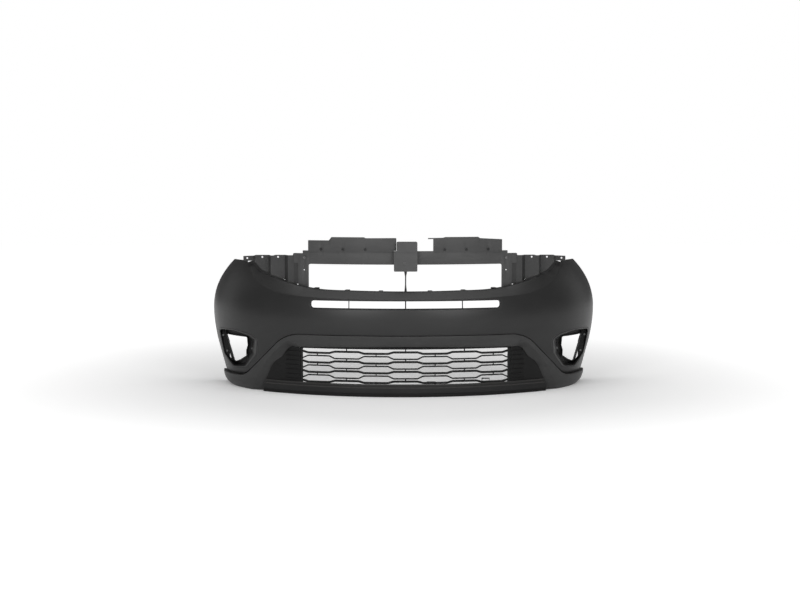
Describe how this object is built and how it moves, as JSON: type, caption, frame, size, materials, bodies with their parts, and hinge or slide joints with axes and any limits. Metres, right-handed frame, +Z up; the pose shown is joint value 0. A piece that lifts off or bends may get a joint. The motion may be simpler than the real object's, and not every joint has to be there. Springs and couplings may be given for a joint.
{
  "type": "front bumper cover",
  "caption": "Front bumper cover with lower trim, mesh grille, fog lamp openings, headlamp brackets and an upper support frame.",
  "frame": {"origin": "middle of the overall box in X and Y, on the plane that the lower edge stands on", "axes": "+Z up; the front of the cover faces -Y, so the car drives towards -Y; +X is to the right for someone facing the cover from the front, which is the car's own left side. Names with left and right are as seen from the front."},
  "size_m": [1.8196, 0.5626, 0.71],
  "materials": {
    "skin_plastic": "smooth dark grey paint-ready moulding",
    "trim_plastic": "fine grained moulding",
    "grille_plastic": "satin black moulding",
    "panel_plastic": "satin black moulding",
    "valance_plastic": "fine grained moulding",
    "dam_rubber": "soft black strip",
    "clip_plastic": "plain black",
    "pin_plastic": "plain black",
    "frame_plastic": "matt grey-black glass-filled moulding",
    "deflector_plastic": "matt grey-black sheet",
    "block_plastic": "matt grey-black moulding",
    "strut_plastic": "matt grey-black moulding",
    "insert_plastic": "satin black moulding",
    "bracket_plastic": "matt grey-black moulding",
    "fog_plastic": "satin black moulding",
    "rail_plastic": "plain black",
    "screw_steel": "dark zinc plated",
    "clip_steel": "dark spring steel"
  },
  "bodies": {
    "cover": {"main_fascia": "skin_plastic", "lower_trim": "trim_plastic", "lower_grille": "grille_plastic", "grille_side_panel_right": "panel_plastic", "grille_side_panel_left": "panel_plastic", "lower_valance": "valance_plastic", "air_dam_strip": "dam_rubber", "valance_clips": "clip_plastic", "support_frame": "frame_plastic", "air_deflector_left": "deflector_plastic", "air_deflector_right": "deflector_plastic", "deflector_clips": "clip_plastic", "centre_block": "block_plastic", "centre_block_screw": "screw_steel", "centre_strut": "strut_plastic", "slot_insert": "insert_plastic", "headlamp_bracket_right": "bracket_plastic", "headlamp_bracket_left": "bracket_plastic", "bracket_screws": "screw_steel", "fog_lamp_bracket_right": "fog_plastic", "fog_lamp_bracket_left": "fog_plastic", "fog_bracket_screws_right": "screw_steel", "fog_bracket_screws_left": "screw_steel", "fender_bracket_right": "rail_plastic", "fender_bracket_left": "rail_plastic", "trim_clips": "clip_steel", "ledge_clips": "clip_steel", "sensor_brackets": "clip_plastic"},
    "pin_1": {"clip_pin_1": "pin_plastic"},
    "pin_2": {"clip_pin_2": "pin_plastic"},
    "pin_3": {"clip_pin_3": "pin_plastic"},
    "pin_4": {"clip_pin_4": "pin_plastic"},
    "pin_5": {"clip_pin_5": "pin_plastic"},
    "pin_6": {"clip_pin_6": "pin_plastic"}
  },
  "joints": [
    {"name": "clip_pin_1_slide", "type": "slide", "parent": "cover", "child": "pin_1", "axis": [-0.2744, -0.9616, 0], "range_m": [0, 0.006]},
    {"name": "clip_pin_2_slide", "type": "slide", "parent": "cover", "child": "pin_2", "axis": [-0.2031, -0.9792, 0], "range_m": [0, 0.006]},
    {"name": "clip_pin_3_slide", "type": "slide", "parent": "cover", "child": "pin_3", "axis": [-0.1303, -0.9915, 0], "range_m": [0, 0.006]},
    {"name": "clip_pin_4_slide", "type": "slide", "parent": "cover", "child": "pin_4", "axis": [0.1266, -0.9919, 0], "range_m": [0, 0.006]},
    {"name": "clip_pin_5_slide", "type": "slide", "parent": "cover", "child": "pin_5", "axis": [0.198, -0.9802, 0], "range_m": [0, 0.006]},
    {"name": "clip_pin_6_slide", "type": "slide", "parent": "cover", "child": "pin_6", "axis": [0.27, -0.9629, 0], "range_m": [0, 0.006]}
  ]
}
